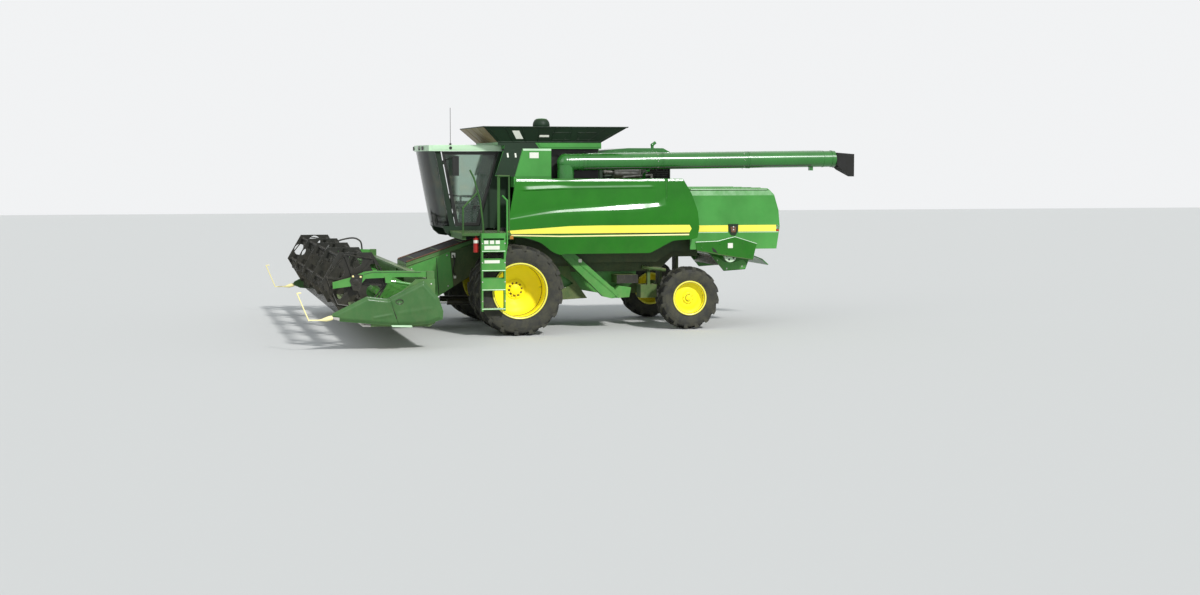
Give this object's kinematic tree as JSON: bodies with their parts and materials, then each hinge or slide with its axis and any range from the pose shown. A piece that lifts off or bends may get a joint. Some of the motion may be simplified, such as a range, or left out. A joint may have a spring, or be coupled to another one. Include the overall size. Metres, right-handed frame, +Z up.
{
  "type": "combine harvester",
  "caption": "Self-propelled combine harvester with dual front wheels, a grain platform with a tined reel, and an unloading auger folded back.",
  "frame": {"origin": "on the ground under the middle of the machine's box, header and folded auger included", "axes": "+X forward towards the header, +Y to the machine's left, +Z up"},
  "size_m": [11.9664, 9.32, 4.5603],
  "materials": {
    "green_paint": "machine green enamel, dusty, semi gloss",
    "light_green_paint": "machine green enamel, less dusty, gloss",
    "yellow_paint": "yellow enamel",
    "black_paint": "black enamel, satin",
    "tyre": "dusty black tyre rubber",
    "black_rubber": "black moulded rubber",
    "glass": "tinted clear glass",
    "bare_steel": "worn bright steel",
    "cast": "painted cast block",
    "seat_cloth": "dark seat cloth",
    "lamp": "clear lamp glass over a bright reflector",
    "red_paint": "red enamel",
    "divider_paint": "green end shields with cream rods at their tips"
  },
  "bodies": {
    "chassis": {"main_frame": "green_paint", "front_axle": "green_paint", "rear_axle": "green_paint", "elevators": "green_paint", "separator_body": "green_paint", "straw_hood": "light_green_paint", "chopper_housing": "green_paint", "grain_tank": "light_green_paint", "tank_extension": "green_paint", "engine": "cast", "engine_deck": "green_paint", "auger_turret": "green_paint", "cab_body": "green_paint", "cab_roof": "light_green_paint", "cab_glass": "glass", "cab_seat": "seat_cloth", "platform": "green_paint", "ladder": "light_green_paint", "engine_pipes": "bare_steel", "rotary_screen": "black_paint", "side_drives": "cast", "work_lamps": "lamp", "extinguisher": "red_paint", "roof_antenna": "black_rubber", "side_boxes": "green_paint"},
    "chopper": {"chopper_rotor": "bare_steel"},
    "front_left_wheels": {"front_left_tyres": "tyre", "front_left_rims": "yellow_paint"},
    "front_right_wheels": {"front_right_tyres": "tyre", "front_right_rims": "yellow_paint"},
    "steer_left": {"knuckle_left": "green_paint"},
    "steer_right": {"knuckle_right": "green_paint"},
    "tie": {"tie_rod": "bare_steel"},
    "rear_left_wheel": {"rear_left_tyre": "tyre", "rear_left_rim": "yellow_paint"},
    "rear_right_wheel": {"rear_right_tyre": "tyre", "rear_right_rim": "yellow_paint"},
    "door": {"cab_door": "black_paint", "door_glass": "glass"},
    "shield_left": {"side_shield_left": "green_paint"},
    "shield_right": {"side_shield_right": "green_paint"},
    "unloader": {"unloading_auger": "green_paint", "auger_spout": "black_rubber"},
    "platform_header": {"feederhouse": "green_paint", "header_frame": "green_paint", "cutterbar": "bare_steel", "crop_dividers": "divider_paint", "feeder_drive": "bare_steel"},
    "intake_auger": {"header_auger": "light_green_paint"},
    "reel_frame": {"reel_arms": "green_paint"},
    "tined_reel": {"reel": "black_paint"},
    "lift_barrel": {"lift_barrels": "black_paint"},
    "lift_rod": {"lift_rods": "bare_steel"},
    "reel_lift_barrel": {"reel_lift_barrels": "black_paint"},
    "reel_lift_rod": {"reel_lift_rods": "bare_steel"}
  },
  "joints": [
    {"name": "front_left_spin", "type": "hinge", "parent": "chassis", "child": "front_left_wheels", "pos_m": [1.4065, 1.45, 0.9], "axis": [0, 1, 0], "continuous": true},
    {"name": "front_right_spin", "type": "hinge", "parent": "chassis", "child": "front_right_wheels", "pos_m": [1.4065, -1.45, 0.9], "axis": [0, 1, 0], "continuous": true},
    {"name": "steer_left", "type": "hinge", "parent": "chassis", "child": "steer_left", "pos_m": [-2.2935, 1.15, 0.65], "axis": [0, 0, 1], "range_deg": [-28, 28]},
    {"name": "steer_right", "type": "hinge", "parent": "chassis", "child": "steer_right", "pos_m": [-2.2935, -1.15, 0.65], "axis": [0, 0, 1], "range_deg": [-28, 28]},
    {"name": "tie_rod_turn", "type": "hinge", "parent": "steer_left", "child": "tie", "pos_m": [-2.5535, 1.15, 0.53], "axis": [0, 0, 1], "range_deg": [-28, 28]},
    {"name": "rear_left_spin", "type": "hinge", "parent": "steer_left", "child": "rear_left_wheel", "pos_m": [-2.2935, 1.52, 0.65], "axis": [0, 1, 0], "continuous": true},
    {"name": "rear_right_spin", "type": "hinge", "parent": "steer_right", "child": "rear_right_wheel", "pos_m": [-2.2935, -1.52, 0.65], "axis": [0, 1, 0], "continuous": true},
    {"name": "cab_door_swing", "type": "hinge", "parent": "chassis", "child": "door", "pos_m": [2.4705, 0.916, 2.15], "axis": [-0.1862, 0, -0.9825], "range_deg": [0, 75]},
    {"name": "left_shield_lift", "type": "hinge", "parent": "chassis", "child": "shield_left", "pos_m": [-0.4935, 1.556, 3.08], "axis": [1, 0, 0], "range_deg": [0, 75]},
    {"name": "right_shield_lift", "type": "hinge", "parent": "chassis", "child": "shield_right", "pos_m": [-0.4935, -1.556, 3.08], "axis": [-1, 0, 0], "range_deg": [0, 75]},
    {"name": "unloader_swing", "type": "hinge", "parent": "chassis", "child": "unloader", "pos_m": [0.2565, 1.34, 3.2], "axis": [0, 0, -1], "range_deg": [0, 100]},
    {"name": "chopper_spin", "type": "hinge", "parent": "chassis", "child": "chopper", "pos_m": [-3.2935, 0, 1.5], "axis": [0, 1, 0], "continuous": true},
    {"name": "header_lift", "type": "hinge", "parent": "chassis", "child": "platform_header", "pos_m": [1.5565, 0, 1.95], "axis": [0, -1, 0], "range_deg": [-8, 14]},
    {"name": "intake_auger_spin", "type": "hinge", "parent": "platform_header", "child": "intake_auger", "pos_m": [3.8565, 0, 0.85], "axis": [0, 1, 0], "continuous": true},
    {"name": "reel_lift", "type": "hinge", "parent": "platform_header", "child": "reel_frame", "pos_m": [3.5365, 0, 1.39], "axis": [0, -1, 0], "range_deg": [-1.5, 22]},
    {"name": "reel_spin", "type": "hinge", "parent": "reel_frame", "child": "tined_reel", "pos_m": [4.8865, 0, 1.27], "axis": [0, 1, 0], "continuous": true},
    {"name": "lift_barrel_swing", "type": "hinge", "parent": "chassis", "child": "lift_barrel", "pos_m": [1.6265, 0, 0.56], "axis": [0, -1, 0], "range_deg": [-8.3, 14.2]},
    {"name": "lift_rod_slide", "type": "slide", "parent": "lift_barrel", "child": "lift_rod", "axis": [1, 0, 0.0079], "range_m": [-0.1957, 0.341]},
    {"name": "reel_barrel_swing", "type": "hinge", "parent": "platform_header", "child": "reel_lift_barrel", "pos_m": [3.7365, 0, 1.18], "axis": [0, -1, 0], "range_deg": [-2.3, 26.5]},
    {"name": "reel_rod_slide", "type": "slide", "parent": "reel_lift_barrel", "child": "reel_lift_rod", "axis": [0.9819, 0, 0.1895], "range_m": [-0.009, 0.1042]}
  ],
  "couplings": [
    {"joint": "steer_right", "follows": "steer_left", "ratio": 1},
    {"joint": "tie_rod_turn", "follows": "steer_left", "ratio": -1},
    {"joint": "lift_barrel_swing", "follows": "header_lift", "ratio": 0.9764},
    {"joint": "lift_rod_slide", "follows": "header_lift", "m_per_rad": 1.3873},
    {"joint": "reel_barrel_swing", "follows": "reel_lift", "ratio": 1.1814},
    {"joint": "reel_rod_slide", "follows": "reel_lift", "m_per_rad": 0.26607}
  ]
}
